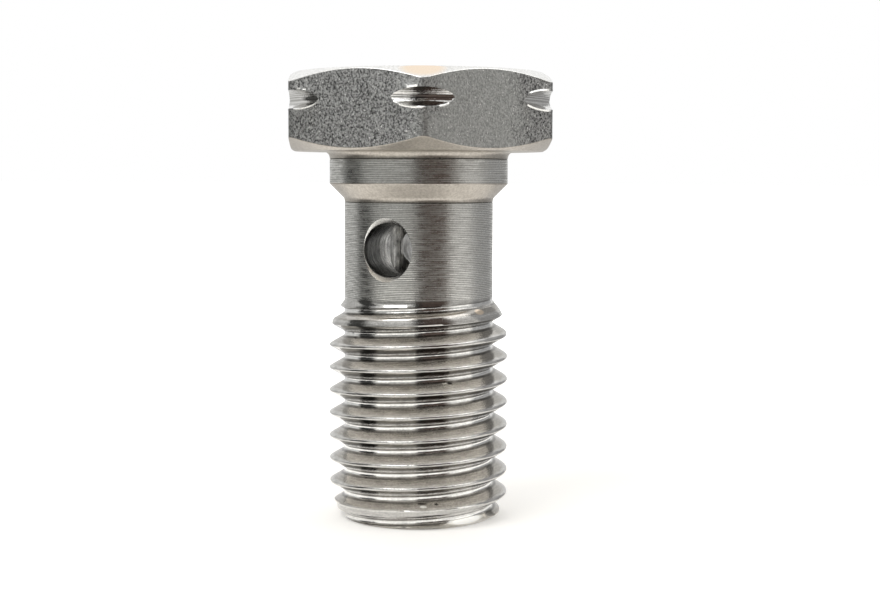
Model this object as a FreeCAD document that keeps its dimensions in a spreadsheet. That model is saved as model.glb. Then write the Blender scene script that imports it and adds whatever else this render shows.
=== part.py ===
"""Banjo bolt: a hollow M10 fluid bolt with a 14 mm hexagon head, a pilot collar, a cross hole
through its shank and a blind bore up its threaded end.

It is turned and drilled from one piece of hexagon bar, so it is one solid. It stands on its
threaded end, with the origin at the centre of that end and +Z up the axis to the head. The cross
hole runs along Y. All sizes are in millimetres and degrees.
"""
import FreeCAD, Part

import os

import Sketcher

NODE = "banjo_bolt"

# Driving sizes: alias, value, what it is
SIZES = [
    ("under_head_length", 20.0, "threaded end to the bearing face"),
    ("head_height", 4.22, "bearing face to the top of the head"),
    ("across_flats", 13.8, "hexagon across flats, for a 14 mm spanner"),
    ("head_turn", 2.9, "turn of the hexagon, clockwise from above, from flats that face the cross hole"),
    ("head_chamfer_angle", 30.0, "slope of both head chamfers from the level"),
    ("top_inset", 0.15, "edge of the flat top, inside the middle of the hexagon's flats"),
    ("bearing_inset", 0.15, "edge of the bearing face, inside the middle of the hexagon's flats"),
    ("notch_height", 2.63, "middle of the groove across the corners, above the bearing face"),
    ("notch_depth", 0.75, "depth of that groove at the corners"),
    ("notch_width", 0.98, "width of that groove where it leaves the corners"),
    ("notch_floor", 0.42, "width of that groove at its bottom"),
    ("collar_diameter", 9.7, "pilot collar that centres the banjo fitting"),
    ("collar_length", 1.75, "bearing face to the collar's lower edge"),
    ("collar_taper_angle", 45.0, "slope of the cone below the collar"),
    ("head_fillet", 0.38, "radius between the bearing face and the collar"),
    ("shank_diameter", 8.1, "relieved shank"),
    ("shank_end", 8.05, "bearing face to where the thread begins"),
    ("thread_diameter", 9.8, "over the crests"),
    ("thread_pitch", 1.25, "rise of one turn"),
    ("thread_flank_angle", 30.0, "slope of one flank from the level"),
    ("crest_flat", 0.17, "width of the crest"),
    ("root_flat", 0.12, "width of the root"),
    ("fade_length", 2.15, "length over which the crests fade into the shank"),
    ("fade_bend_length", 0.9, "steep part of the fade, next to the shank"),
    ("fade_bend_depth", 0.24, "drop of the crests over the gentle part of the fade"),
    ("end_face_diameter", 8.16, "flat at the threaded end"),
    ("end_edge_length", 0.25, "bevel round the threaded end"),
    ("end_land_diameter", 9.0, "first turn of the thread, whose crest is cut down"),
    ("end_land_length", 0.75, "threaded end to the top of the cut-down turn"),
    ("end_taper_length", 1.25, "threaded end to the first full crest"),
    ("groove_lead_in", 1.87, "start of the thread groove below the end face, which sets its turn"),
    ("groove_run_out", 0.8, "end of the thread groove above the last crest"),
    ("cutter_overrun", 0.1, "how far a cut reaches outside the metal"),
    ("bore_diameter", 3.1, "blind bore up the axis"),
    ("bore_past_hole", 0.6, "full bore above the cross hole"),
    ("drill_point_angle", 59.0, "half the angle of the drill's point"),
    ("bore_mouth_diameter", 3.9, "45 degree chamfer at the mouth of the bore"),
    ("cross_hole_diameter", 2.8, "hole through both walls of the shank"),
    ("cross_hole_drop", 5.22, "bearing face to the cross hole's axis"),
    ("countersink_diameter", 3.36, "45 degree countersink of the cross hole, on the shank"),
]

# Radii and heights that several outlines share
TOP = "(sizes.under_head_length + sizes.head_height)"
BEARING_FACE = "sizes.under_head_length"
CORNER_RADIUS = "(sizes.across_flats / 2 / cos(30))"
OUTSIDE_HEAD = f"({CORNER_RADIUS} + sizes.cutter_overrun)"
COLLAR_RADIUS = "(sizes.collar_diameter / 2)"
SHANK_RADIUS = "(sizes.shank_diameter / 2)"
CREST_RADIUS = "(sizes.thread_diameter / 2)"
THREAD_TOP = "(sizes.under_head_length - sizes.shank_end)"
BORE_RADIUS = "(sizes.bore_diameter / 2)"
HOLE_RADIUS = "(sizes.cross_hole_diameter / 2)"
HOLE_AXIS = "(sizes.under_head_length - sizes.cross_hole_drop)"


def add_sheet(doc):
    """Write the driving sizes into a sheet, one row each."""
    sheet = doc.addObject("Spreadsheet::Sheet", "sizes")
    for row, (alias, value, meaning) in enumerate(SIZES, start=1):
        sheet.set(f"A{row}", meaning)
        sheet.set(f"B{row}", str(value))
        sheet.setAlias(f"B{row}", alias)
    doc.recompute()


def add_sketch(body, name, role, height=None):
    """Start a sketch on the body's own origin plane, raised to a height where one is given."""
    plane = next(item for item in body.Origin.OriginFeatures if item.Role == role)
    sketch = body.newObject("Sketcher::SketchObject", name)
    sketch.AttachmentSupport = (plane, [""])
    sketch.MapMode = "FlatFace"
    if height:
        up = "z" if role == "XY_Plane" else "y"
        sketch.setExpression(f"AttachmentOffset.Base.{up}", height)
    return sketch


def hold(sketch, kind, side, point, expression):
    """Tie one coordinate of a point of the sketch to the sheet."""
    value = float(sketch.evalExpression(expression))
    index = sketch.addConstraint(Sketcher.Constraint(kind, side, point, value))
    sketch.setExpression(f"Constraints[{index}]", expression)


def draw_outline(sketch, corners, arcs=None):
    """Draw a closed outline through corners given as (across, up) expressions of the sheet.

    arcs maps a side's number to the (across, up) expressions of its centre, where that side is
    an arc instead of a line.
    """
    arcs = arcs or {}

    def place(corner):
        across, up = (float(sketch.evalExpression(part)) for part in corner)
        return FreeCAD.Vector(across, up, 0)

    ends = []
    for side, corner in enumerate(corners):
        begin = place(corner)
        finish = place(corners[(side + 1) % len(corners)])
        if side not in arcs:
            sketch.addGeometry(Part.LineSegment(begin, finish), False)
            ends.append((1, 2))
            continue
        centre = place(arcs[side])
        from_centre = begin - centre
        to_centre = finish - centre
        # An arc of a sketch runs anticlockwise, so a clockwise side starts at the arc's end
        turns_left = from_centre.cross(to_centre).z > 0
        ends.append((1, 2) if turns_left else (2, 1))
        first, last = (from_centre, to_centre) if turns_left else (to_centre, from_centre)
        across = FreeCAD.Vector(1, 0, 0)
        upward = FreeCAD.Vector(0, 0, 1)
        circle = Part.Circle(centre, upward, from_centre.Length)
        arc = Part.ArcOfCircle(circle, signed_angle(across, first), signed_angle(across, last))
        sketch.addGeometry(arc, False)

    for side, corner in enumerate(corners):
        following = (side + 1) % len(corners)
        sketch.addConstraint(
            Sketcher.Constraint("Coincident", side, ends[side][1], following, ends[following][0])
        )
        hold(sketch, "DistanceX", side, ends[side][0], corner[0])
        hold(sketch, "DistanceY", side, ends[side][0], corner[1])
    for side, centre in arcs.items():
        hold(sketch, "DistanceX", side, 3, centre[0])


def signed_angle(across, arm):
    """Angle of an arm from the sketch's horizontal, anticlockwise."""
    angle = across.getAngle(arm)
    return angle if arm.y >= 0 else -angle


def turn(body, kind, name, sketch, axis="V_Axis"):
    """Turn a sketch right round an axis, to add metal (Revolution) or cut it (Groove)."""
    feature = body.newObject(f"PartDesign::{kind}", name)
    feature.Profile = sketch
    feature.ReferenceAxis = (sketch, [axis])
    feature.Angle = 360
    sketch.Visibility = False
    body.Document.recompute()
    return feature


def add_stem(body):
    """Collar, cone, shank and thread blank, turned in one outline from the threaded end up."""
    end_land_radius = "sizes.end_land_diameter / 2"
    cone_drop = f"(({COLLAR_RADIUS} - {SHANK_RADIUS}) / tan(sizes.collar_taper_angle))"
    collar_end = f"({BEARING_FACE} - sizes.collar_length)"
    fillet_end = f"({BEARING_FACE} - sizes.head_fillet)"
    fillet_outside = f"({COLLAR_RADIUS} + sizes.head_fillet)"
    corners = [
        ("0", "0"),
        ("sizes.end_face_diameter / 2", "0"),
        (end_land_radius, "sizes.end_edge_length"),
        (end_land_radius, "sizes.end_land_length"),
        (CREST_RADIUS, "sizes.end_taper_length"),
        (CREST_RADIUS, f"{THREAD_TOP} - sizes.fade_length"),
        (f"{CREST_RADIUS} - sizes.fade_bend_depth", f"{THREAD_TOP} - sizes.fade_bend_length"),
        (SHANK_RADIUS, THREAD_TOP),
        (SHANK_RADIUS, f"{collar_end} - {cone_drop}"),
        (COLLAR_RADIUS, collar_end),
        (COLLAR_RADIUS, fillet_end),
        (fillet_outside, BEARING_FACE),
        ("0", BEARING_FACE),
    ]
    fillet_side = 10
    sketch = add_sketch(body, "stem_outline", "XZ_Plane")
    draw_outline(sketch, corners, {fillet_side: (fillet_outside, fillet_end)})
    return turn(body, "Revolution", "stem", sketch)


def cut_thread(body):
    """Right-hand thread: the groove between the crests, swept up a helix."""
    sketch = add_sketch(body, "thread_groove", "XZ_Plane")
    slope = "tan(sizes.thread_flank_angle)"
    depth = f"((sizes.thread_pitch - sizes.crest_flat - sizes.root_flat) / 2 / {slope})"
    root_radius = f"({CREST_RADIUS} - {depth})"
    outside = f"({CREST_RADIUS} + sizes.cutter_overrun)"
    half_root = "(sizes.root_flat / 2)"
    half_mouth = f"({half_root} + ({depth} + sizes.cutter_overrun) * {slope})"
    corners = [
        (root_radius, f"-sizes.groove_lead_in - {half_root}"),
        (outside, f"-sizes.groove_lead_in - {half_mouth}"),
        (outside, f"-sizes.groove_lead_in + {half_mouth}"),
        (root_radius, f"-sizes.groove_lead_in + {half_root}"),
    ]
    draw_outline(sketch, corners)
    thread = body.newObject("PartDesign::SubtractiveHelix", "thread")
    thread.Profile = sketch
    thread.ReferenceAxis = (sketch, ["V_Axis"])
    thread.Mode = "pitch-height-angle"
    thread.setExpression("Pitch", "sizes.thread_pitch")
    thread.setExpression("Height", f"sizes.groove_lead_in + {THREAD_TOP} + sizes.groove_run_out")
    thread.LeftHanded = False
    sketch.Visibility = False
    body.Document.recompute()
    return thread


def add_head(body):
    """Hexagon head on top of the collar."""
    sketch = add_sketch(body, "hexagon", "XY_Plane", BEARING_FACE)
    corners = []
    for corner in range(6):
        angle = f"({60 * corner} - sizes.head_turn)"
        corners.append((f"{CORNER_RADIUS} * cos({angle})", f"{CORNER_RADIUS} * sin({angle})"))
    draw_outline(sketch, corners)
    head = body.newObject("PartDesign::Pad", "head")
    head.Profile = sketch
    head.setExpression("Length", "sizes.head_height")
    sketch.Visibility = False
    body.Document.recompute()
    return head


def cut_head_chamfer(body, name, face_height, inset, outward):
    """Turn the corners off at the top (outward +) or at the bearing face (outward -)."""
    inward = "-" if outward == "+" else "+"
    slope = "tan(sizes.head_chamfer_angle)"
    face_radius = f"(sizes.across_flats / 2 - {inset})"
    corners = [
        (f"{face_radius} - sizes.cutter_overrun / {slope}",
         f"{face_height} {outward} sizes.cutter_overrun"),
        (OUTSIDE_HEAD, f"{face_height} {outward} sizes.cutter_overrun"),
        (OUTSIDE_HEAD, f"{face_height} {inward} ({OUTSIDE_HEAD} - {face_radius}) * {slope}"),
    ]
    sketch = add_sketch(body, f"{name}_outline", "XZ_Plane")
    draw_outline(sketch, corners)
    return turn(body, "Groove", name, sketch)


def cut_corner_notch(body):
    """Groove turned round the head, so shallow that only the corners show it."""
    root_radius = f"({CORNER_RADIUS} - sizes.notch_depth)"
    half_floor = "(sizes.notch_floor / 2)"
    slope = f"(sizes.notch_width / 2 - {half_floor}) / sizes.notch_depth"
    half_mouth = f"({half_floor} + {slope} * (sizes.notch_depth + sizes.cutter_overrun))"
    middle = f"{BEARING_FACE} + sizes.notch_height"
    corners = [
        (root_radius, f"{middle} - {half_floor}"),
        (OUTSIDE_HEAD, f"{middle} - {half_mouth}"),
        (OUTSIDE_HEAD, f"{middle} + {half_mouth}"),
        (root_radius, f"{middle} + {half_floor}"),
    ]
    sketch = add_sketch(body, "corner_notch_outline", "XZ_Plane")
    draw_outline(sketch, corners)
    return turn(body, "Groove", "corner_notch", sketch)


def cut_bore(body):
    """Blind fluid bore from the threaded end to just above the cross hole."""
    mouth_radius = "(sizes.bore_mouth_diameter / 2)"
    bore_end = f"({HOLE_AXIS} + {HOLE_RADIUS} + sizes.bore_past_hole)"
    point = f"{BORE_RADIUS} / tan(sizes.drill_point_angle)"
    corners = [
        ("0", "-sizes.cutter_overrun"),
        (f"{mouth_radius} + sizes.cutter_overrun", "-sizes.cutter_overrun"),
        (BORE_RADIUS, f"{mouth_radius} - {BORE_RADIUS}"),
        (BORE_RADIUS, bore_end),
        ("0", f"{bore_end} + {point}"),
    ]
    sketch = add_sketch(body, "bore_outline", "XZ_Plane")
    draw_outline(sketch, corners)
    return turn(body, "Groove", "bore", sketch)


def cut_cross_hole(body):
    """Cross hole along Y through both walls, countersunk where it leaves the shank."""
    sink_radius = "(sizes.countersink_diameter / 2)"
    sink_end = f"({SHANK_RADIUS} - ({sink_radius} - {HOLE_RADIUS}))"
    outside = f"({SHANK_RADIUS} + sizes.cutter_overrun)"
    outside_radius = f"{sink_radius} + sizes.cutter_overrun"
    corners = [
        (f"-{outside}", "0"),
        (f"-{outside}", outside_radius),
        (f"-{sink_end}", HOLE_RADIUS),
        (sink_end, HOLE_RADIUS),
        (outside, outside_radius),
        (outside, "0"),
    ]
    sketch = add_sketch(body, "cross_hole_outline", "YZ_Plane", HOLE_AXIS)
    draw_outline(sketch, corners)
    return turn(body, "Groove", "cross_hole", sketch, "H_Axis")


def build_bolt(doc):
    """Build the bolt in the order it is turned, threaded, milled and drilled."""
    body = doc.addObject("PartDesign::Body", NODE)
    body.Label = NODE
    add_stem(body)
    cuts = [cut_thread(body)]
    add_head(body)
    cuts.append(cut_head_chamfer(body, "top_chamfer", TOP, "sizes.top_inset", "+"))
    cuts.append(cut_head_chamfer(body, "lower_chamfer", BEARING_FACE, "sizes.bearing_inset", "-"))
    cuts.append(cut_corner_notch(body))
    cuts.append(cut_bore(body))
    cuts.append(cut_cross_hole(body))
    for cut in cuts:
        if cut.Shape.Volume >= cut.BaseFeature.Shape.Volume:
            raise RuntimeError(f"{cut.Name} cuts nothing")
    body.Placement = FreeCAD.Placement()
    return body


def check(doc, bodies):
    """Stop before anything is written if an object failed or a shape is not sound."""
    for item in doc.Objects:
        if "Invalid" in item.State or "Error" in item.State:
            raise RuntimeError(f"{item.Name} failed: {item.State}")
    for body in bodies:
        shape = body.Shape
        if shape.isNull() or not shape.isValid() or len(shape.Solids) != 1:
            raise RuntimeError(f"{body.Label} is not one sound solid")


def main():
    doc = FreeCAD.newDocument("banjo_bolt_model")
    add_sheet(doc)
    bodies = [build_bolt(doc)]
    doc.recompute()
    check(doc, bodies)
    os.makedirs("parts", exist_ok=True)
    for body in bodies:
        body.Shape.exportStep(f"parts/{body.Label}.step")
        print(body.Label, "volume", round(body.Shape.Volume, 2), "box", body.Shape.BoundBox)


main()
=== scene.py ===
"""Banjo bolt, dressed: turned, threaded and drilled steel on a white floor.

The bolt's sizes are in millimetres and degrees, as in the CAD model, and its mesh is scaled to
metres when it is made. The stage is in metres. The bolt stands on its threaded end at the origin.
"""

import math

import bpy
import numpy as np
from mathutils import Matrix, Vector


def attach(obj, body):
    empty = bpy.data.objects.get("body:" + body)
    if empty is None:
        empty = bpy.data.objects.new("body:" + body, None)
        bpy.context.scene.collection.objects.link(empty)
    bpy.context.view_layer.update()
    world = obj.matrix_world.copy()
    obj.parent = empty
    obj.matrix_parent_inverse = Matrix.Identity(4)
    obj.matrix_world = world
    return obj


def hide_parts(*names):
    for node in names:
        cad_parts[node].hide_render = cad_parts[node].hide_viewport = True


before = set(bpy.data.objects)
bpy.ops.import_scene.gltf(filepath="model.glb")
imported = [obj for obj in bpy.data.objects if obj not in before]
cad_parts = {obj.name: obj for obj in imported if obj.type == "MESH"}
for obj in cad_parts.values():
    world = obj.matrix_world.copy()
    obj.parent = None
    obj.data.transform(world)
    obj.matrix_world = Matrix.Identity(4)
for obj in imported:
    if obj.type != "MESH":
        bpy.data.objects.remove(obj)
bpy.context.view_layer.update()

MM = 0.001

# Head
BEARING_FACE = 20.0
TOP = 24.22
ACROSS_FLATS = 13.8
CORNER_RADIUS = ACROSS_FLATS / 2 / math.cos(math.radians(30))
CORNER_ROUND = 0.6
HEAD_TURN = 2.9
CHAMFER_SLOPE = math.tan(math.radians(30))
FACE_RADIUS = 6.75
TOP_FACE_RING = 3.0

# Radii that soften edges
FACE_EDGE_ROUND = 0.08
CHAMFER_EDGE_ROUND = 0.05
COLLAR_EDGE_ROUND = 0.06
CONE_FOOT_ROUND = 0.3
MOUTH_ROUND = 0.05
THROAT_ROUND = 0.1

# Groove across the head's corners, with its least opening beside them
NOTCH_HEIGHT = 22.63
NOTCH_DEPTH = 0.75
NOTCH_ROOT = CORNER_RADIUS - NOTCH_DEPTH
NOTCH_HALF_WIDTH = 0.48
NOTCH_LEAST = 0.01
NOTCH_ROWS = 15

# Burrs along the groove's lips: angle round the head from its first corner, half length in
# degrees, upper lip 1 or lower lip -1, and how proud they stand above the lip's own edge. Their
# height swings by a share of itself along them.
BURRS = [
    (293.5, 5.5, -1, 0.08), (299.0, 3.0, -1, 0.03), (308.0, 4.0, -1, 0.03), (295.0, 4.0, 1, 0.04),
    (352.0, 8.0, -1, 0.11), (353.0, 6.0, 1, 0.09), (247.0, 7.0, -1, 0.05), (246.0, 4.0, 1, 0.03),
    (66.0, 5.0, -1, 0.05), (114.0, 5.0, 1, 0.04), (186.0, 6.0, -1, 0.06), (9.0, 4.0, -1, 0.04),
]
BURR_SWING = 0.35
BURR_WAVE = 2.3

# How proud the lips stand without a burr, how far from the groove they are proudest and end, from
# what share of the groove's depth they stand in full, and how proud they are to be shiny, in
# bright steel that also paints a highlight along them
LOWER_EDGE = 0.014
UPPER_EDGE = 0.008
LIP_RISE = 0.05
LIP_END = 0.12
FULL_LIP = 0.05
LIP_GLOSS_AND_PAINTED_HIGHLIGHT_PROUD = 0.025

# Collar, shank and ends
COLLAR_RADIUS = 4.85
COLLAR_END = 18.25
HEAD_FILLET = 0.38
SHANK_RADIUS = 4.05
CONE_END = 17.45
TOOL_MARK = 0.03
TOOL_MARK_WIDTH = 0.07
CONE_MARK = 0.15
COLLAR_ROWS = (19.2, 18.5)
END_RADIUS = 4.08
END_BEVEL = 0.25
END_FACE_RING = 3.2

# Thread: crest centre at azimuth 0 and height THREAD_START, and the envelope its crests stay in
CREST_RADIUS = 4.9
PITCH = 1.25
THREAD_START = 0.005
THREAD_DEPTH = 0.831
CREST_FLAT = 0.1
CREST_SOFT = 0.09
ROOT_FLAT = 0.19
ROOT_SOFT = 0.07
FLANK_RISE = 2 * THREAD_DEPTH / (PITCH - CREST_FLAT - ROOT_FLAT)
THREAD_TOP = 12.1
ENVELOPE = [
    (0.0, 4.5), (0.72, 4.5), (1.25, 4.9), (9.6, 4.9), (10.15, 4.83), (10.74, 4.73),
    (11.25, 4.56), (11.67, 4.27), (11.9, 4.05), (14.0, 4.05),
]

# How softly the crests meet the envelope, and the height from which its corners are rounded too
ENVELOPE_SOFT = 0.05
FADE_START = 8.0
FADE_ROUND = 0.14

# How ragged the crests are and how far down the flanks, and the waves that make them so: how many
# go round the bolt, and how they turn with height in radians for each millimetre
CREST_RAGGED = 0.03
RAGGED_REACH = 0.14
CREST_WAVES = [(31, 5.1), (17, -3.7)]

# Where the thread's first crest is cut away at the end face: azimuths, the angle over which the
# cut fades in at each of them, height and radius
START_CUT_FROM = -50.0
START_CUT_TO = 3.0
START_CUT_FADE = 9.0
START_CUT_HEIGHT = 0.48
START_CUT_RADIUS = 4.1

# Bore and cross hole
BORE_RADIUS = 1.55
BORE_MOUTH = 1.95
BORE_END = 16.78
DRILL_POINT = BORE_RADIUS / math.tan(math.radians(59))
HOLE_RADIUS = 1.4
HOLE_HEIGHT = 14.78
SINK_DEPTH = 0.28

# Azimuth of the smoothest skin on the flats, which comes back every third of a turn
SMOOTH_AT = -42.0

# Small oval marks: their colours, the radius that they lie outside, and how much of an
# oval has its full colour. The dark marks are dark spots and the warm ones a warm tint, but
# the warm one on the thread's top turn is a painted highlight; the bright marks are painted
# highlights, the low wide one a painted reflection of the floor at the thread's cut end
WARM_COLOUR_AND_HIGHLIGHT = (0.93, 0.78, 0.62)
DARK_TINT = (0.05, 0.045, 0.04)
PAINTED_HIGHLIGHT_COLOUR = (1.0, 1.0, 0.98)
MARK_INNER_RADIUS = 3.0
MARK_CORE = 0.4

# Each mark's azimuth and height, half length round the bolt and half height
DARK_MARKS = [(-51.5, 19.6, 0.07, 0.05), (-41.8, 7.78, 0.16, 0.07), (-52.1, 1.4, 0.12, 0.05),
              (-62.0, 1.42, 0.3, 0.04), (-124.0, 10.3, 0.1, 0.08), (131.0, 6.2, 0.2, 0.06)]
# A warm tint on the top chamfer, and a painted highlight on the thread's top turn
WARM_AND_HIGHLIGHT_MARKS = [(-62.9, 24.1, 1.3, 0.5), (-17.0, 11.48, 0.4, 0.16)]
# Painted highlights; the low wide one is a painted reflection of the floor
PAINTED_HIGHLIGHT_MARKS = [(-61.2, 1.3, 0.22, 0.06), (-43.4, 8.08, 0.24, 0.05), (-88.0, 15.9, 0.16, 0.03),
                (-24.5, 0.3, 1.35, 0.24), (118.0, 3.4, 0.2, 0.05)]

# Camera: where the photographer stood, in millimetres, and how the view was aimed, in degrees
CAMERA_DISTANCE = 88.0
CAMERA_HEIGHT = 18.71
CAMERA_AZIMUTH = 25.5
CAMERA_PITCH = 4.435
CAMERA_YAW = 0.766
CAMERA_ROLL = 0.155
FOCAL_PIXELS = 1605.8
IMAGE_WIDTH = 880

# Materials by number on the bolt's mesh; the last paints shade in the tool's grooves
FLATS, TURNED, SATIN, THREAD, HOLES, NOTCH, RIM, PAINTED_GROOVE_SHADE = range(8)


def column_angles():
    """Angles of the mesh's columns from the head's first corner, close together at corners."""
    notch_reach = 30 - math.degrees(math.acos(ACROSS_FLATS / 2 / NOTCH_ROOT))
    half = np.concatenate([
        np.linspace(0, round_reach(), 5),
        np.linspace(round_reach(), notch_reach, 9)[1:],
        np.linspace(notch_reach, 30, 10)[1:],
    ])
    sector = np.concatenate([half, 60 - half[-2:0:-1]])
    return np.concatenate([sector + 60 * corner for corner in range(6)])


def round_reach():
    """Angle from a corner at which its rounding meets the flat."""
    touch = CORNER_ROUND * math.tan(math.radians(30))
    across = touch * math.cos(math.radians(30))
    return math.degrees(math.atan2(across, CORNER_RADIUS - touch * math.sin(math.radians(30))))


def hexagon_radius(angles):
    """Distance from the axis to the hexagon at angles from one of its corners, in degrees."""
    from_corner = np.radians((angles + 30) % 60 - 30)
    flat = ACROSS_FLATS / 2 / np.cos(np.radians(30) - np.abs(from_corner))
    centre = CORNER_RADIUS - CORNER_ROUND / math.cos(math.radians(30))
    inside = np.maximum(CORNER_ROUND ** 2 - (centre * np.sin(from_corner)) ** 2, 0)
    rounded = centre * np.cos(from_corner) + np.sqrt(inside)
    near = np.degrees(np.abs(from_corner)) < round_reach()
    return np.where(near, np.minimum(flat, rounded), flat)


def first_column_first(angles):
    """Turn the columns so that the first has the least azimuth, and give both angles of each."""
    azimuths = np.radians(angles - HEAD_TURN) % math.tau
    start = int(np.argmin(azimuths))
    return np.roll(angles, -start), np.roll(azimuths, -start)


ANGLES, AZIMUTHS = first_column_first(column_angles())
COLUMNS = len(ANGLES)


def soft_min(a, b, width):
    """Lesser of a and b, with the corner between them rounded over a width."""
    overlap = np.maximum(width - np.abs(a - b), 0) / width
    return np.minimum(a, b) - overlap ** 2 * width / 4


def soft_max(a, b, width):
    """Greater of a and b, with the corner between them rounded over a width."""
    return -soft_min(-a, -b, width)


def bend(before, corner, after, radius, steps, support=0.03):
    """Points that round one corner of an outline, with a point close by on each side of it.

    Each of before, corner and after is a radius and a height, each one value or one per column.
    """
    before, corner, after = (
        np.array([np.broadcast_to(value, COLUMNS) for value in point], dtype=float)
        for point in (before, corner, after)
    )
    to_before = (before - corner) / np.linalg.norm(before - corner, axis=0)
    to_after = (after - corner) / np.linalg.norm(after - corner, axis=0)
    half = np.arccos(np.clip((to_before * to_after).sum(axis=0), -1, 1)) / 2
    setback = radius / np.tan(half)
    middle = to_before + to_after
    centre = corner + middle / np.linalg.norm(middle, axis=0) * radius / np.sin(half)
    start = corner + to_before * setback - centre
    finish = corner + to_after * setback - centre
    sweep = np.pi - 2 * half
    points = [corner + to_before * (setback + support)]
    for share in np.linspace(0, 1, steps + 1):
        arm = np.sin((1 - share) * sweep) * start + np.sin(share * sweep) * finish
        points.append(centre + arm / np.sin(sweep))
    points.append(corner + to_after * (setback + support))
    return points


def crest_envelope(height):
    """Greatest radius of the crests at a height, rounded where they fade into the shank."""
    levels, radii = np.array(ENVELOPE).T
    reach = np.where(np.asarray(height) > FADE_START, FADE_ROUND, 0.0)
    nearby = [np.interp(height + share * reach, levels, radii) for share in np.linspace(-1, 1, 9)]
    return np.mean(nearby, axis=0)


def thread_radius(height, azimuth):
    """Distance from the axis to the thread's surface, with rounded, slightly ragged crests."""
    phase = (height - THREAD_START) / PITCH - azimuth / math.tau
    from_crest = np.abs(phase - np.round(phase)) * PITCH
    flank = CREST_RADIUS - (from_crest - CREST_FLAT / 2) * FLANK_RISE
    profile = soft_min(flank, CREST_RADIUS, CREST_SOFT)
    profile = soft_max(profile, CREST_RADIUS - THREAD_DEPTH, ROOT_SOFT)
    waves = math.prod(np.sin(count * azimuth + climb * height) for count, climb in CREST_WAVES)
    near_crest = np.maximum(1 - from_crest / RAGGED_REACH, 0)
    profile = profile - CREST_RAGGED * (0.5 + 0.5 * waves) * near_crest
    bevel = END_RADIUS + height / END_BEVEL * (ENVELOPE[0][1] - END_RADIUS)
    radius = np.minimum(soft_min(profile, crest_envelope(height), ENVELOPE_SOFT), bevel)
    turn = np.degrees(azimuth + math.pi) % 360 - 180
    inside = np.minimum(turn - START_CUT_FROM, START_CUT_TO - turn) / START_CUT_FADE
    inside = np.clip(inside, 0, 1) * (height < START_CUT_HEIGHT)
    return radius + (np.minimum(radius, START_CUT_RADIUS) - radius) * inside


def thread_levels():
    """Heights within one pitch of the mesh's rows, from one crest to the next."""
    half = [0, 0.03, 0.06, 0.09, 0.13, 0.2, 0.28, 0.36, 0.44, 0.49, 0.515, 0.54, 0.57]
    rising = np.array(half + [PITCH / 2])
    return np.concatenate([rising, PITCH - rising[-2:0:-1]])


class Shell:
    """Vertices and faces of the bolt, gathered ring by ring from the top down."""

    def __init__(self):
        self.points = []
        self.faces = []
        self.kinds = []

    def add_point(self, radius, height, azimuth=0.0):
        self.points.append((radius * math.cos(azimuth), radius * math.sin(azimuth), height))
        return len(self.points) - 1

    def add_ring(self, radius, height):
        radii = np.broadcast_to(radius, COLUMNS)
        heights = np.broadcast_to(height, COLUMNS)
        return [self.add_point(r, z, a) for r, z, a in zip(radii, heights, AZIMUTHS)]

    def add_face(self, corners, kind):
        self.faces.append(corners)
        self.kinds.append(int(kind))

    def join(self, upper, lower, kind):
        """Close the strip between two rings. Either may be one point on the axis."""
        kinds = np.broadcast_to(kind, COLUMNS)
        for j in range(COLUMNS):
            k = (j + 1) % COLUMNS
            if isinstance(upper, int):
                self.add_face((upper, lower[j], lower[k]), kinds[j])
            elif isinstance(lower, int):
                self.add_face((upper[j], lower, upper[k]), kinds[j])
            else:
                self.add_face((upper[j], lower[j], lower[k], upper[k]), kinds[j])

    def add_outline(self, above, kind, outline):
        """Add an outline's rings below a ring, and return the last ring with its material."""
        for (radius, height), next_kind in outline:
            ring = self.add_ring(radius, height)
            self.join(above, ring, kind)
            above, kind = ring, next_kind
        return above, kind

    def add_thread(self, upper, lower):
        """Close the space between two level rings with rows that climb along the helix."""
        levels = thread_levels()
        per_turn = len(levels)
        # More turns than the thread has, at both ends
        all_rows = range(-4 * per_turn, 14 * per_turn)
        margin = 0.03
        highest = self.points[upper[0]][2] - margin
        lowest = self.points[lower[0]][2] + margin

        def height_of(row, column):
            turns, level = divmod(row, per_turn)
            climb = PITCH * (AZIMUTHS[column % COLUMNS] / math.tau + column // COLUMNS)
            return THREAD_START + turns * PITCH + levels[level] + climb

        def rows_of(column):
            return [row for row in all_rows if lowest < height_of(row, column) < highest]

        columns = []
        for column in range(COLUMNS):
            heights = {row: height_of(row, column) for row in rows_of(column)}
            at_bevel = min(heights, key=lambda row: abs(heights[row] - END_BEVEL))
            heights[at_bevel] = END_BEVEL
            azimuth = AZIMUTHS[column]
            columns.append({
                row: self.add_point(float(thread_radius(z, azimuth)), z, azimuth)
                for row, z in heights.items()
            })
        # One turn on, each row meets the row a turn above it in the first column
        columns.append({row: columns[0][row + per_turn] for row in rows_of(COLUMNS)})
        for column in range(COLUMNS):
            following = (column + 1) % COLUMNS
            self.join_columns(columns[column], columns[column + 1],
                              (upper[column], upper[following]), (lower[column], lower[following]))

    def join_columns(self, here, there, above, below):
        """Close the strip between two columns of the thread, up to the rings at both ends."""
        bottom = max(min(here), min(there))
        top = min(max(here), max(there))
        for row in range(bottom, top):
            corners = (here[row + 1], here[row], there[row], there[row + 1])
            at_bevel = [abs(self.points[corner][2] - END_BEVEL) < 1e-9 for corner in corners]
            if at_bevel[0] and at_bevel[2]:
                self.fan(corners)
            elif at_bevel[1] and at_bevel[3]:
                self.fan(corners[1:] + corners[:1])
            else:
                self.add_face(corners, THREAD)
        low = [here[row] for row in range(bottom, min(here) - 1, -1)]
        low += [below[0], below[1]]
        low += [there[row] for row in range(min(there), bottom + 1)]
        self.fan(low)
        high = [there[row] for row in range(top, max(there) + 1)]
        high += [above[1], above[0]]
        high += [here[row] for row in range(max(here), top - 1, -1)]
        self.fan(high)

    def fan(self, loop):
        """Close a loop of corners with triangles from its first corner."""
        for first, second in zip(loop[1:-1], loop[2:]):
            self.add_face((loop[0], first, second), THREAD)


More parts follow.
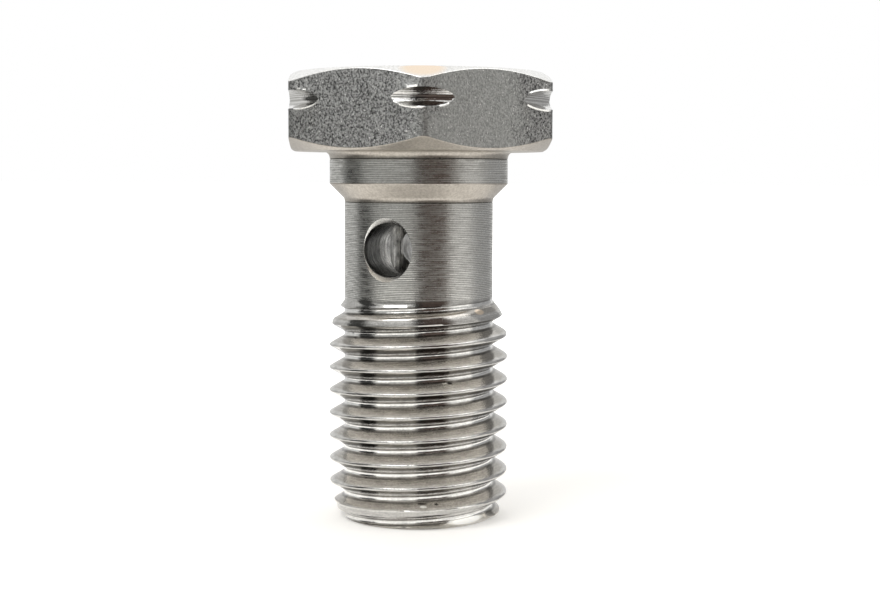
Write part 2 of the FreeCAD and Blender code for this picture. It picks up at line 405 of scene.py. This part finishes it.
def burr_height(side, open_share):
    """How proud one lip and its burrs stand in each column, by how far the groove is open."""
    proud = np.full(COLUMNS, UPPER_EDGE if side > 0 else LOWER_EDGE)
    for angle, half_length, lip, height in BURRS:
        away = np.abs((ANGLES - angle + 180) % 360 - 180) / half_length
        ragged = 1 - BURR_SWING + BURR_SWING * np.sin(ANGLES * BURR_WAVE + angle)
        proud += (lip == side) * height * ragged * np.maximum(1 - away ** 2, 0)
    return proud * np.minimum(open_share / FULL_LIP, 1)


def head_outline():
    """Rings of the head, from the top face to the collar, with the material below each."""
    radius = hexagon_radius(ANGLES)
    depth = radius.max() - NOTCH_ROOT
    share = np.clip((radius - NOTCH_ROOT) / depth, 0, 1)
    in_notch = share > 1e-6
    beside_notch = in_notch | np.roll(in_notch, -1)
    open_half = np.maximum(NOTCH_HALF_WIDTH * np.sqrt(1 - (1 - share) ** 2), NOTCH_LEAST)

    def lip_rows(side):
        proud = burr_height(side, share)
        # Shiny bright steel on proud lips, which also paints a highlight along them
        lip_gloss_and_painted_highlight = np.where(proud > LIP_GLOSS_AND_PAINTED_HIGHLIGHT_PROUD, RIM, FLATS)
        rise = (radius + proud, NOTCH_HEIGHT + side * (open_half + LIP_RISE))
        end = (radius, NOTCH_HEIGHT + side * (open_half + LIP_END))
        return rise, end, lip_gloss_and_painted_highlight

    lip = (radius, NOTCH_HEIGHT + open_half)
    edge = (FACE_RADIUS, TOP)
    shoulder = (radius, TOP - (radius - FACE_RADIUS) * CHAMFER_SLOPE)
    middle = (TOP_FACE_RING, TOP)
    rings = [(middle, TURNED)]
    rings += [(p, RIM) for p in bend(middle, edge, shoulder, FACE_EDGE_ROUND, 2)]
    rings += [(p, RIM) for p in bend(edge, shoulder, lip, CHAMFER_EDGE_ROUND, 3)]
    rings[-2] = (rings[-2][0], FLATS)
    rings[-1] = (rings[-1][0], FLATS)
    rise, end, lip_gloss_and_painted_highlight = lip_rows(1)
    rings += [(end, lip_gloss_and_painted_highlight), (rise, lip_gloss_and_painted_highlight)]
    groove_kind = np.where(beside_notch, NOTCH, FLATS)
    for step in np.sin(np.linspace(math.pi / 2, -math.pi / 2, NOTCH_ROWS)):
        across = np.clip(step * open_half / NOTCH_HALF_WIDTH, -1, 1)
        inward = np.minimum(NOTCH_ROOT + depth * (1 - np.sqrt(1 - across ** 2)), radius)
        inward = np.where(in_notch, inward, radius)
        rings.append(((inward, NOTCH_HEIGHT + open_half * step), groove_kind))
    rise, end, lip_gloss_and_painted_highlight = lip_rows(-1)
    rings[-1] = (rings[-1][0], lip_gloss_and_painted_highlight)
    rings += [(rise, lip_gloss_and_painted_highlight), (end, FLATS)]

    lip = (radius, NOTCH_HEIGHT - open_half)
    edge = (FACE_RADIUS, BEARING_FACE)
    shoulder = (radius, BEARING_FACE + (radius - FACE_RADIUS) * CHAMFER_SLOPE)
    low = bend(lip, shoulder, edge, CHAMFER_EDGE_ROUND, 3)
    rings += [(low[0], FLATS)] + [(p, SATIN) for p in low[1:]]
    fillet_outside = (COLLAR_RADIUS + HEAD_FILLET, BEARING_FACE)
    rings += [(p, SATIN) for p in bend(shoulder, edge, fillet_outside, FACE_EDGE_ROUND, 2)]
    return rings


def tool_mark(radius, height):
    """Shallow groove that the tool leaves where it turns from one surface to the next, its walls
    in painted shade.
    """
    return [((radius, height), PAINTED_GROOVE_SHADE), ((radius - TOOL_MARK, height - TOOL_MARK), PAINTED_GROOVE_SHADE),
            ((radius, height - TOOL_MARK_WIDTH), TURNED)]


def stem_outline():
    """Rings of the fillet, collar, cone and shank, from the head down to the thread."""
    rings = []
    for angle in np.radians(np.linspace(90, 172, 8)):
        rings.append(((COLLAR_RADIUS + HEAD_FILLET * (1 + math.cos(angle)),
                       BEARING_FACE - HEAD_FILLET * (1 - math.sin(angle))), SATIN))
    collar_top = BEARING_FACE - HEAD_FILLET
    rings += tool_mark(COLLAR_RADIUS, collar_top)
    rings += [((COLLAR_RADIUS, z), TURNED) for z in COLLAR_ROWS]
    above = (COLLAR_RADIUS, collar_top)
    collar_edge = (COLLAR_RADIUS, COLLAR_END)
    cone_foot = (SHANK_RADIUS, CONE_END)
    shank_middle = (SHANK_RADIUS, HOLE_HEIGHT)
    rings += [(p, SATIN) for p in bend(above, collar_edge, cone_foot, COLLAR_EDGE_ROUND, 3)]
    foot = bend(collar_edge, cone_foot, shank_middle, CONE_FOOT_ROUND, 4)
    rings += [(p, SATIN) for p in foot[:-1]]
    rings += tool_mark(SHANK_RADIUS, CONE_END - CONE_MARK)
    shank_rows = np.arange(17.0, THREAD_TOP + 0.3, -0.6)
    rings += [((SHANK_RADIUS, z), TURNED) for z in shank_rows]
    rings.append(((SHANK_RADIUS, THREAD_TOP), THREAD))
    return rings


def end_outline():
    """Rings from the threaded end up the bore to the drill's point, closer at the cross hole."""
    face = (END_FACE_RING, 0.0)
    mouth = (BORE_MOUTH, 0.0)
    throat = (BORE_RADIUS, BORE_MOUTH - BORE_RADIUS)
    inside = (BORE_RADIUS, 2.0)
    rings = [(face, SATIN)]
    rings += [(p, HOLES) for p in bend(face, mouth, throat, MOUTH_ROUND, 2)]
    rings += [(p, HOLES) for p in bend(mouth, throat, inside, THROAT_ROUND, 2)]
    rings += [((BORE_RADIUS, z), HOLES) for z in np.linspace(2.0, 12.0, 5)]
    rings += [((BORE_RADIUS, z), HOLES) for z in np.linspace(12.8, BORE_END, 9)]
    for share in (0.97, 0.5):
        rings.append(((BORE_RADIUS * share, BORE_END + DRILL_POINT * (1 - share)), HOLES))
    return rings


def build_shell():
    shell = Shell()
    centre = shell.add_point(0.0, TOP)
    ring, _ = shell.add_outline(centre, TURNED, head_outline() + stem_outline())
    foot = shell.add_ring(np.minimum(END_RADIUS, thread_radius(np.zeros(COLUMNS), AZIMUTHS)), 0.0)
    shell.add_thread(ring, foot)
    ring, kind = shell.add_outline(foot, SATIN, end_outline())
    shell.join(ring, shell.add_point(0.0, BORE_END + DRILL_POINT), kind)
    return shell


def make_object(name, points, faces, kinds=None):
    """Make an object from points in millimetres."""
    mesh = bpy.data.meshes.new(name)
    mesh.from_pydata((np.array(points) * MM).tolist(), [], faces)
    if kinds is not None:
        mesh.polygons.foreach_set("material_index", kinds)
    mesh.update()
    piece = bpy.data.objects.new(name, mesh)
    bpy.context.scene.collection.objects.link(piece)
    return piece


def hole_cutter():
    """Drill and 45 degree countersink along Y, a little longer than the shank is thick."""
    sides = 96
    overrun = 0.25
    reach = SHANK_RADIUS + overrun
    throat = SHANK_RADIUS - SINK_DEPTH
    # From the countersink through the softened edge at its throat to the middle, then mirrored
    outline = [
        (-reach, HOLE_RADIUS + SINK_DEPTH + overrun),
        (-throat - 0.05, HOLE_RADIUS + 0.05),
        (-throat - 0.01, HOLE_RADIUS + 0.018),
        (-throat + 0.04, HOLE_RADIUS),
    ]
    cone_rows = 3
    outline += [(y, HOLE_RADIUS) for y in np.linspace(-3.3, 0, 6)]
    outline += [(-y, radius) for y, radius in outline[-2::-1]]
    rows = len(outline) - 1
    points, faces, kinds = [], [], []
    for y, radius in outline:
        for angle in np.arange(sides) * math.tau / sides:
            points.append((radius * math.cos(angle), y, HOLE_HEIGHT + radius * math.sin(angle)))
    for row in range(rows):
        kind = RIM if row < cone_rows or row >= rows - cone_rows else HOLES
        for side in range(sides):
            following = (side + 1) % sides
            low, high = row * sides, (row + 1) * sides
            faces.append((low + side, high + side, high + following, low + following))
            kinds.append(kind)
    faces.append(tuple(range(sides)))
    faces.append(tuple(reversed(range(len(points) - sides, len(points)))))
    return make_object("hole_cutter", points, faces, kinds + [RIM, RIM])


def build_bolt(materials):
    """Make the bolt's mesh, drill its cross hole and put it in the CAD solid's place."""
    shell = build_shell()
    bolt = make_object("bolt", shell.points, shell.faces, shell.kinds)
    cutter = hole_cutter()
    for piece in (bolt, cutter):
        for material in materials:
            piece.data.materials.append(material)
    cut = bolt.modifiers.new("cross_hole", "BOOLEAN")
    cut.operation = "DIFFERENCE"
    cut.solver = "EXACT"
    cut.object = cutter
    graph = bpy.context.evaluated_depsgraph_get()
    mesh = bpy.data.meshes.new_from_object(bolt.evaluated_get(graph))
    bolt.modifiers.clear()
    bolt.data = mesh
    bpy.data.objects.remove(cutter)
    sharp_from = 32
    mesh.shade_smooth()
    mesh.set_sharp_from_angle(angle=math.radians(sharp_from))
    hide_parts("banjo_bolt")
    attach(bolt, "root")


def add(tree, kind, inputs=None, **settings):
    """Add a shader node, with a value or another node's output for each of its named inputs."""
    node = tree.nodes.new(f"ShaderNode{kind}")
    for name, value in settings.items():
        setattr(node, name, value)
    for name, value in (inputs or {}).items():
        if isinstance(value, bpy.types.NodeSocket):
            tree.links.new(value, node.inputs[name])
        else:
            node.inputs[name].default_value = value
    return node


def place_in_mm(tree, stretch=(1, 1, 1)):
    """Place on the bolt in millimetres, stretched along each axis."""
    place = add(tree, "TexCoord").outputs["Object"]
    scale = tuple(s / MM for s in stretch)
    return add(tree, "VectorMath", {0: place, 1: scale}, operation="MULTIPLY").outputs[0]


def parts_of(tree, place):
    return add(tree, "SeparateXYZ", {"Vector": place}).outputs


def noise(tree, place, scale, detail=2.0, roughness=0.5):
    inputs = {"Vector": place, "Scale": scale, "Detail": detail, "Roughness": roughness}
    return add(tree, "TexNoise", inputs).outputs["Fac"]


def ramp(tree, value, low, high, to_low=0.0, to_high=1.0):
    """Stretch a value's range from low and high to two new ends, and clamp it there."""
    inputs = {"Value": value, "From Min": low, "From Max": high,
              "To Min": to_low, "To Max": to_high}
    return add(tree, "MapRange", inputs).outputs["Result"]


def math_of(tree, operation, *values):
    return add(tree, "Math", dict(enumerate(values)), operation=operation).outputs[0]


def dot_of(tree, place, direction):
    inputs = {0: place, 1: direction}
    return add(tree, "VectorMath", inputs, operation="DOT_PRODUCT").outputs["Value"]


def length_of(tree, place):
    return add(tree, "VectorMath", {0: place}, operation="LENGTH").outputs["Value"]


def mix_colours(tree, share, first, second):
    """Colour between two, each a tuple or another node's output."""
    first, second = (
        colour if isinstance(colour, bpy.types.NodeSocket) else (*colour, 1)
        for colour in (first, second)
    )
    # A Mix node's sockets share their names: these are the factor, the two colours and the result
    return add(tree, "Mix", {0: share, 6: first, 7: second}, data_type="RGBA").outputs[2]


def bands(tree, value, stops):
    """Colour that follows a value from 0 to 1 through stops of position and colour."""
    node = add(tree, "ValToRGB", {"Fac": value})
    elements = node.color_ramp.elements
    while len(elements) < len(stops):
        elements.new(0.5)
    for element, (position, colour) in zip(elements, stops):
        element.position = position
        element.color = (*colour, 1) if isinstance(colour, tuple) else (colour, colour, colour, 1)
    return node.outputs["Color"]


def bump(tree, height, depth_mm):
    inputs = {"Height": height, "Distance": depth_mm * MM, "Strength": 1.0}
    return add(tree, "Bump", inputs).outputs["Normal"]


def azimuth_of(tree):
    """Angle round the bolt's axis, in radians."""
    place = parts_of(tree, place_in_mm(tree))
    return math_of(tree, "ARCTAN2", place["Y"], place["X"])


def marked(tree, marks):
    """1 on small oval marks that lie at given azimuths and heights, and 0 elsewhere."""
    place = place_in_mm(tree)
    height = parts_of(tree, place)["Z"]
    total = None
    for azimuth, level, half_length, half_height in marks:
        angle = math.radians(azimuth)
        outward = (math.cos(angle), math.sin(angle), 0)
        along = (-math.sin(angle) / half_length, math.cos(angle) / half_length, 0)
        across = dot_of(tree, place, along)
        up = math_of(tree, "DIVIDE", math_of(tree, "SUBTRACT", height, level), half_height)
        away = math_of(tree, "MULTIPLY_ADD", up, up, math_of(tree, "MULTIPLY", across, across))
        oval = ramp(tree, away, 1.0, MARK_CORE)
        inner_radius = FACE_RADIUS if level > BEARING_FACE else MARK_INNER_RADIUS
        outside = math_of(tree, "GREATER_THAN", dot_of(tree, place, outward), inner_radius)
        here = math_of(tree, "MULTIPLY", oval, outside)
        total = here if total is None else math_of(tree, "MAXIMUM", total, here)
    return total


def start_steel(name):
    material = bpy.data.materials.new(name)
    material.use_nodes = True
    shader = material.node_tree.nodes["Principled BSDF"]
    shader.inputs["Metallic"].default_value = 1.0
    return material, material.node_tree, shader


def finish_steel(tree, shader, colour, roughness, normal):
    """Put the marks, painted highlights among them, into a finish and connect it to the shader."""
    # A warm tint with a painted highlight among it, then dark spots, then painted highlights
    colour = mix_colours(tree, marked(tree, WARM_AND_HIGHLIGHT_MARKS), colour, WARM_COLOUR_AND_HIGHLIGHT)
    colour = mix_colours(tree, marked(tree, DARK_MARKS), colour, DARK_TINT)
    colour = mix_colours(tree, marked(tree, PAINTED_HIGHLIGHT_MARKS), colour, PAINTED_HIGHLIGHT_COLOUR)
    tree.links.new(colour, shader.inputs["Base Color"])
    tree.links.new(roughness, shader.inputs["Roughness"])
    tree.links.new(normal, shader.inputs["Normal"])


def drawn_steel():
    """Dull, pitted skin of the drawn bar on the flats, coarser on some flats than on others."""
    material, tree, shader = start_steel("steel_flats")
    place = place_in_mm(tree, (1, 1, 0.85))
    grain = noise(tree, place, 9.0, 3.0, 0.65)
    fine = noise(tree, place, 15.0, 2.0, 0.6)
    patches = noise(tree, place, 0.5, 2.0)
    third = math_of(tree, "MULTIPLY_ADD", azimuth_of(tree), 3.0, math.radians(-3 * SMOOTH_AT))
    swing = math_of(tree, "MULTIPLY", math_of(tree, "COSINE", third), -0.5)
    coarse = ramp(tree, math_of(tree, "ADD", swing, patches), 0.2, 0.55)
    pits = ramp(tree, grain, 0.4, 0.59)
    dust = ramp(tree, fine, 0.32, 0.68)
    speckle = math_of(tree, "MULTIPLY_ADD", dust, 0.55, math_of(tree, "MULTIPLY", pits, 0.55))
    pit_colour = mix_colours(tree, coarse, (0.31, 0.315, 0.305), (0.03, 0.03, 0.031))
    skin_colour = mix_colours(tree, coarse, (0.58, 0.585, 0.57), (0.56, 0.56, 0.55))
    colour = mix_colours(tree, ramp(tree, speckle, 0.1, 0.95), pit_colour, skin_colour)
    sparks = ramp(tree, noise(tree, place, 11.0, 1.0), 0.68, 0.74)
    colour = mix_colours(tree, sparks, colour, (0.9, 0.9, 0.88))
    roughness = ramp(tree, coarse, 0.0, 1.0, 0.5, 0.6)
    finish_steel(tree, shader, colour, roughness, bump(tree, speckle, 0.009))
    return material


def turned_steel(name, roughness, feed, line_depth, spread, low, high):
    """Turned skin: the tool's feed lines round the axis, which spread reflections across them.

    They run up the cylinders and out across level faces.
    """
    material, tree, shader = start_steel(name)
    shader.inputs["Anisotropic"].default_value = spread
    tangent = add(tree, "Tangent", direction_type="RADIAL", axis="Z").outputs["Tangent"]
    tree.links.new(tangent, shader.inputs["Tangent"])
    place = parts_of(tree, place_in_mm(tree))
    level_place = add(tree, "CombineXYZ", {"X": place["X"], "Y": place["Y"]}).outputs[0]
    run = math_of(tree, "ADD", place["Z"], length_of(tree, level_place))
    drift = noise(tree, place_in_mm(tree, (0.3, 0.3, 1.0)), 1.0, 2.0)
    turns = math_of(tree, "MULTIPLY", run, math.tau / feed)
    angle = math_of(tree, "MULTIPLY_ADD", drift, 5.0, turns)
    ridges = math_of(tree, "POWER", ramp(tree, math_of(tree, "SINE", angle), -1, 1), 2.0)
    along = add(tree, "CombineXYZ", {
        "X": math_of(tree, "MULTIPLY", place["X"], 0.9),
        "Y": math_of(tree, "MULTIPLY", place["Y"], 0.9),
        "Z": math_of(tree, "MULTIPLY", run, 9.0),
    }).outputs[0]
    streaks = ramp(tree, noise(tree, along, 1.0, 3.0, 0.65), 0.3, 0.7)
    speckle = ramp(tree, noise(tree, place_in_mm(tree), 9.0, 2.0, 0.7), 0.3, 0.7)
    cut = math_of(tree, "MULTIPLY_ADD", streaks, 0.4, math_of(tree, "MULTIPLY", ridges, 0.8))
    shade = math_of(tree, "MULTIPLY_ADD", speckle, 0.3, cut)
    colour = mix_colours(tree, ramp(tree, shade, 0.15, 1.25), low, high)
    gloss = ramp(tree, streaks, 0.2, 0.8, roughness * 1.3, roughness * 0.7)
    finish_steel(tree, shader, colour, gloss, bump(tree, shade, line_depth))
    return material


def plain_steel(name, low, high, roughness, depth):
    """Smooth cut skin with a fine speckle."""
    material, tree, shader = start_steel(name)
    speckle = noise(tree, place_in_mm(tree), 8.0, 3.0, 0.7)
    clouds = noise(tree, place_in_mm(tree, (1, 1, 2)), 0.9, 2.0)
    shade = math_of(tree, "MULTIPLY_ADD", clouds, 0.5, ramp(tree, speckle, 0.35, 0.65))
    colour = mix_colours(tree, ramp(tree, shade, 0.3, 1.2), low, high)
    gloss = ramp(tree, speckle, 0.3, 0.7, roughness + 0.05, roughness - 0.05)
    finish_steel(tree, shader, colour, gloss, bump(tree, speckle, depth))
    return material


# Tones and roughness across one pitch of the thread, from a crest up to the next one: crest, upper
# flank darkened as painted shade, painted shade line, root lit by a painted highlight, painted
# shade line again, lower flank
THREAD_PAINTED_LIGHT_AND_TONES = [
    (0.0, (0.58, 0.57, 0.55)), (0.05, (0.74, 0.73, 0.71)), (0.12, (0.66, 0.645, 0.615)),
    (0.17, (0.52, 0.495, 0.455)), (0.33, (0.48, 0.455, 0.415)), (0.36, (0.24, 0.23, 0.215)),
    (0.385, (0.26, 0.25, 0.235)), (0.41, (0.56, 0.545, 0.515)), (0.44, (0.86, 0.855, 0.84)),
    (0.56, (0.86, 0.855, 0.84)), (0.585, (0.5, 0.49, 0.47)), (0.605, (0.28, 0.27, 0.26)),
    (0.635, (0.56, 0.55, 0.53)), (0.75, (0.62, 0.61, 0.59)), (0.96, (0.58, 0.57, 0.55)),
    (1.0, (0.58, 0.57, 0.55)),
]
THREAD_ROUGHNESS = [(0.0, 0.22), (0.05, 0.14), (0.15, 0.13), (0.38, 0.13), (0.44, 0.09),
                    (0.56, 0.09), (0.7, 0.1), (0.85, 0.07), (0.95, 0.09), (1.0, 0.22)]


def threaded_steel():
    """Bright thread, with tones, painted highlight and shade, and fine lines that run along the
    helix.
    """
    material, tree, shader = start_steel("steel_thread")
    place = parts_of(tree, place_in_mm(tree))
    turns = math_of(tree, "DIVIDE", azimuth_of(tree), math.tau)
    level = math_of(tree, "SUBTRACT", math_of(tree, "DIVIDE", place["Z"], PITCH), turns)
    stretch = 0.06
    helix = add(tree, "CombineXYZ", {
        "X": math_of(tree, "FRACT", level),
        "Y": math_of(tree, "MULTIPLY", place["X"], stretch),
        "Z": math_of(tree, "MULTIPLY", place["Y"], stretch),
    }).outputs[0]
    lines = noise(tree, helix, 22.0, 3.0, 0.7)
    smear = noise(tree, place_in_mm(tree, (1, 1, 2.5)), 0.9, 3.0, 0.6)
    grain = noise(tree, place_in_mm(tree), 9.0, 2.0, 0.7)
    wander = ramp(tree, smear, 0.2, 0.8, -0.02, 0.02)
    phase = math_of(tree, "FRACT", math_of(tree, "ADD", level, wander))
    # Painted highlight on the root, painted shade beside it and on the upper flank
    pitch_colour_with_painted_light = bands(tree, phase, THREAD_PAINTED_LIGHT_AND_TONES)
    streak = ramp(tree, lines, 0.3, 0.7, 0.0, 0.6)
    streak = math_of(tree, "MULTIPLY_ADD", ramp(tree, grain, 0.3, 0.7), 0.4, streak)
    strength = ramp(tree, streak, 0.2, 0.8, 0.78, 1.16)
    shade = add(tree, "VectorMath", {0: pitch_colour_with_painted_light, "Scale": strength}, operation="SCALE").outputs[0]
    wear = ramp(tree, smear, 0.3, 0.7, 0.8, 1.3)
    gloss = math_of(tree, "MULTIPLY", bands(tree, phase, THREAD_ROUGHNESS), wear)
    finish_steel(tree, shader, shade, gloss, bump(tree, lines, 0.006))
    return material


def drilled_steel():
    """Steel in the holes, with the drill's rings, painted shade at the cross hole's front opening
    and painted light in its rear part.
    """
    material, tree, shader = start_steel("steel_holes")
    rings = ramp(tree, noise(tree, place_in_mm(tree, (0.25, 7.0, 0.25)), 1.0, 3.0, 0.65), 0.3, 0.7)
    blotches = ramp(tree, noise(tree, place_in_mm(tree), 2.2, 3.0, 0.6), 0.35, 0.65)
    shade = math_of(tree, "MULTIPLY_ADD", rings, 0.5, math_of(tree, "MULTIPLY", blotches, 0.5))
    depth = parts_of(tree, place_in_mm(tree))["Y"]
    # Painted light in the cross hole's rear part and painted shade in its front part
    painted_light_at_back = ramp(tree, depth, 1.6, 2.4)
    painted_shade_at_front = ramp(tree, depth, -1.5, -2.3)
    dark = mix_colours(tree, painted_light_at_back, (0.04, 0.04, 0.038), (0.9, 0.895, 0.88))
    light = mix_colours(tree, painted_light_at_back, (0.85, 0.84, 0.81), (1.0, 0.995, 0.98))
    light = mix_colours(tree, painted_shade_at_front, light, (0.2, 0.2, 0.19))
    colour = mix_colours(tree, shade, dark, light)
    gloss = ramp(tree, rings, 0.0, 1.0, 0.34, 0.22)
    finish_steel(tree, shader, colour, gloss, bump(tree, rings, 0.012))
    return material


def add_camera():
    azimuth = math.radians(CAMERA_AZIMUTH)
    side, front = math.sin(azimuth), -math.cos(azimuth)
    place = Vector((side * CAMERA_DISTANCE, front * CAMERA_DISTANCE, CAMERA_HEIGHT)) * MM
    heading = azimuth - math.radians(CAMERA_YAW)
    pitch = math.radians(CAMERA_PITCH)
    level = Vector((math.cos(heading), math.sin(heading), 0))
    ahead = Vector((-math.sin(heading), math.cos(heading), 0))
    forward = ahead * math.cos(pitch) - Vector((0, 0, math.sin(pitch)))
    upright = level.cross(forward)
    roll = math.radians(CAMERA_ROLL)
    right = level * math.cos(roll) + upright * math.sin(roll)
    up = upright * math.cos(roll) - level * math.sin(roll)
    data = bpy.data.cameras.new("camera")
    data.sensor_width = 36.0
    data.lens = FOCAL_PIXELS / IMAGE_WIDTH * data.sensor_width
    data.clip_start = 0.002
    camera = bpy.data.objects.new("camera", data)
    camera.matrix_world = Matrix((
        (right.x, up.x, -forward.x, place.x),
        (right.y, up.y, -forward.y, place.y),
        (right.z, up.z, -forward.z, place.z),
        (0, 0, 0, 1),
    ))
    bpy.context.scene.collection.objects.link(camera)
    bpy.context.scene.camera = camera


# Cards that stand in a ring round the bolt and show only in its reflections. The edges between
# them are azimuths from the camera, to its right, at the floor and from CARD_BEND up. Each card
# has a height in millimetres and three colours: up to 4 mm, from 12 to 22.5 mm and from 25 mm up.
CARD_DISTANCE = 30.0
CARD_BEND = 20.0
CARD_BLENDS = [(4.0, 12.0), (22.5, 25.0)]
CARD_EDGES = [(-142, -142), (-96, -104), (-63, -74), (-2, -7), (9, 4.5), (39, 42), (45, 48),
              (88, 84), (142, 142), (218, 218)]
CARDS = [
    ("card_left_back", 38, [(0.62, 0.62, 0.61)] * 3),
    ("card_left_dark", 40, [(0.02, 0.02, 0.02), (0.06, 0.06, 0.058), (0.06, 0.06, 0.058)]),
    ("card_left", 38, [(1.3, 1.28, 1.22), (0.33, 0.33, 0.32), (0.7, 0.7, 0.68)]),
    ("card_front_dark", 62, [(0.02, 0.018, 0.017), (0.075, 0.065, 0.06), (0.02, 0.018, 0.017)]),
    ("card_front", 50, [(0.05, 0.035, 0.028), (0.1, 0.078, 0.068), (0.08, 0.06, 0.052)]),
    ("card_front_edge", 38, [(0.4, 0.37, 0.34), (0.3, 0.28, 0.26), (0.3, 0.28, 0.26)]),
    ("card_right", 38, [(1.2, 1.18, 1.14), (0.62, 0.61, 0.59), (0.62, 0.61, 0.59)]),
    ("card_right_back", 38, [(0.36, 0.36, 0.36)] * 3),
    ("card_back", 38, [(0.75, 0.75, 0.75), (0.7, 0.7, 0.69), (0.95, 0.95, 0.95)]),
]


def angle_from_camera(azimuth):
    """Angle round the bolt's axis, in radians, of an azimuth from the camera, to its right."""
    return math.radians(CAMERA_AZIMUTH - 90 + azimuth)


def card_material(name, colours):
    """Light of three colours, one above another."""
    material = bpy.data.materials.new(name)
    material.use_nodes = True
    tree = material.node_tree
    tree.nodes.clear()
    height = parts_of(tree, place_in_mm(tree))["Z"]
    colour = colours[0]
    for blend, above in zip(CARD_BLENDS, colours[1:]):
        colour = mix_colours(tree, ramp(tree, height, *blend), colour, above)
    light = add(tree, "Emission", {"Color": colour})
    output = add(tree, "OutputMaterial")
    tree.links.new(light.outputs[0], output.inputs["Surface"])
    return material


def add_card(start, finish, name, height, colours):
    """Add a curved card between two edges."""
    step_degrees = 3
    steps = max(2, round(abs(finish[0] - start[0]) / step_degrees))
    points, faces = [], []
    for share in np.linspace(0, 1, steps + 1):
        low = start[0] + (finish[0] - start[0]) * share
        high = start[1] + (finish[1] - start[1]) * share
        for azimuth, level in ((low, 0), (high, CARD_BEND), (high, height)):
            angle = angle_from_camera(azimuth)
            x, y = CARD_DISTANCE * math.cos(angle), CARD_DISTANCE * math.sin(angle)
            points.append((x, y, level))
    for step in range(steps):
        for level in (0, 1):
            corner = 3 * step + level
            faces.append((corner, corner + 1, corner + 4, corner + 3))
    card = make_object(name, points, faces)
    card.data.materials.append(card_material(name, colours))
    card.visible_camera = False
    card.visible_diffuse = False
    card.visible_shadow = False


def seen_rays(tree):
    """1 for rays that show the background, from the camera or off steel, and 0 for its light."""
    path = add(tree, "LightPath").outputs
    seen = math_of(tree, "MAXIMUM", path["Is Camera Ray"], path["Is Glossy Ray"])
    return math_of(tree, "MAXIMUM", seen, path["Is Transmission Ray"])


def add_world():
    """White where it is seen, and softer as light."""
    world = bpy.data.worlds.new("world")
    world.use_nodes = True
    tree = world.node_tree
    background = tree.nodes["Background"]
    background.inputs["Color"].default_value = (1, 1, 1, 1)
    as_light = 0.6
    as_seen = 1.0
    strength = ramp(tree, seen_rays(tree), 0, 1, as_light, as_seen)
    tree.links.new(strength, background.inputs["Strength"])
    bpy.context.scene.world = world


def add_floor():
    """White table that keeps the bolt's shadow, and glows more where it is out of its reach."""
    half = 3000.0
    below_bolt = 0.01
    near, far = 40, 160
    near_glow, far_glow = 0.25, 1.0
    corners = ((-half, -half), (half, -half), (half, half), (-half, half))
    points = [(x, y, -below_bolt) for x, y in corners]
    floor = make_object("floor", points, [(0, 1, 2, 3)])
    material = bpy.data.materials.new("floor")
    material.use_nodes = True
    tree = material.node_tree
    shader = tree.nodes["Principled BSDF"]
    shader.inputs["Base Color"].default_value = (0.9, 0.88, 0.84, 1)
    shader.inputs["Roughness"].default_value = 1.0
    shader.inputs["Specular IOR Level"].default_value = 0.0
    shader.inputs["Emission Color"].default_value = (1, 1, 1, 1)
    glow = ramp(tree, length_of(tree, place_in_mm(tree)), near, far, near_glow, far_glow)
    lift = math_of(tree, "MULTIPLY", seen_rays(tree), glow)
    tree.links.new(lift, shader.inputs["Emission Strength"])
    floor.data.materials.append(material)


def add_lamp(name, azimuth, elevation, size, watts, in_reflections=True):
    """Soft square lamp half a metre off, aimed at the bolt, at an azimuth from the camera."""
    distance = 0.5
    data = bpy.data.lights.new(name, "AREA")
    data.shape = "SQUARE"
    data.size = size
    data.energy = watts
    lamp = bpy.data.objects.new(name, data)
    angle = angle_from_camera(azimuth)
    rise = math.radians(elevation)
    level = math.cos(rise)
    away = Vector((math.cos(angle) * level, math.sin(angle) * level, math.sin(rise)))
    lamp.location = away * distance + Vector((0, 0, TOP / 2 * MM))
    lamp.rotation_mode = "QUATERNION"
    lamp.rotation_quaternion = away.to_track_quat("Z", "Y")
    lamp.visible_glossy = in_reflections
    bpy.context.scene.collection.objects.link(lamp)


build_bolt([
    drawn_steel(),
    turned_steel("steel_turned", roughness=0.3, feed=0.095, line_depth=0.004, spread=0.45,
                 low=(0.35, 0.345, 0.33), high=(0.96, 0.955, 0.92)),
    plain_steel("steel_satin", low=(0.43, 0.395, 0.35), high=(0.58, 0.54, 0.485),
                roughness=0.36, depth=0.002),
    threaded_steel(),
    drilled_steel(),
    turned_steel("steel_notch", roughness=0.07, feed=0.16, line_depth=0.008, spread=0.0,
                 low=(0.5, 0.49, 0.47), high=(0.97, 0.96, 0.94)),
    plain_steel("steel_rim", low=(0.76, 0.755, 0.73), high=(0.97, 0.965, 0.94),
                roughness=0.24, depth=0.002),
    # Dark steel that paints the shade in the tool's grooves
    plain_steel("steel_painted_groove_shade", low=(0.16, 0.155, 0.14), high=(0.3, 0.29, 0.27),
                roughness=0.4, depth=0.002),
])
add_camera()
add_world()
add_floor()
for start, finish, card in zip(CARD_EDGES, CARD_EDGES[1:], CARDS):
    add_card(start, finish, *card)
add_lamp("lamp_left", azimuth=-45, elevation=50, size=0.3, watts=0.9)
add_lamp("lamp_right", azimuth=75, elevation=45, size=0.3, watts=0.3)
add_lamp("lamp_top", azimuth=180, elevation=70, size=0.35, watts=0.6, in_reflections=False)
bpy.context.scene.view_settings.view_transform = "Standard"
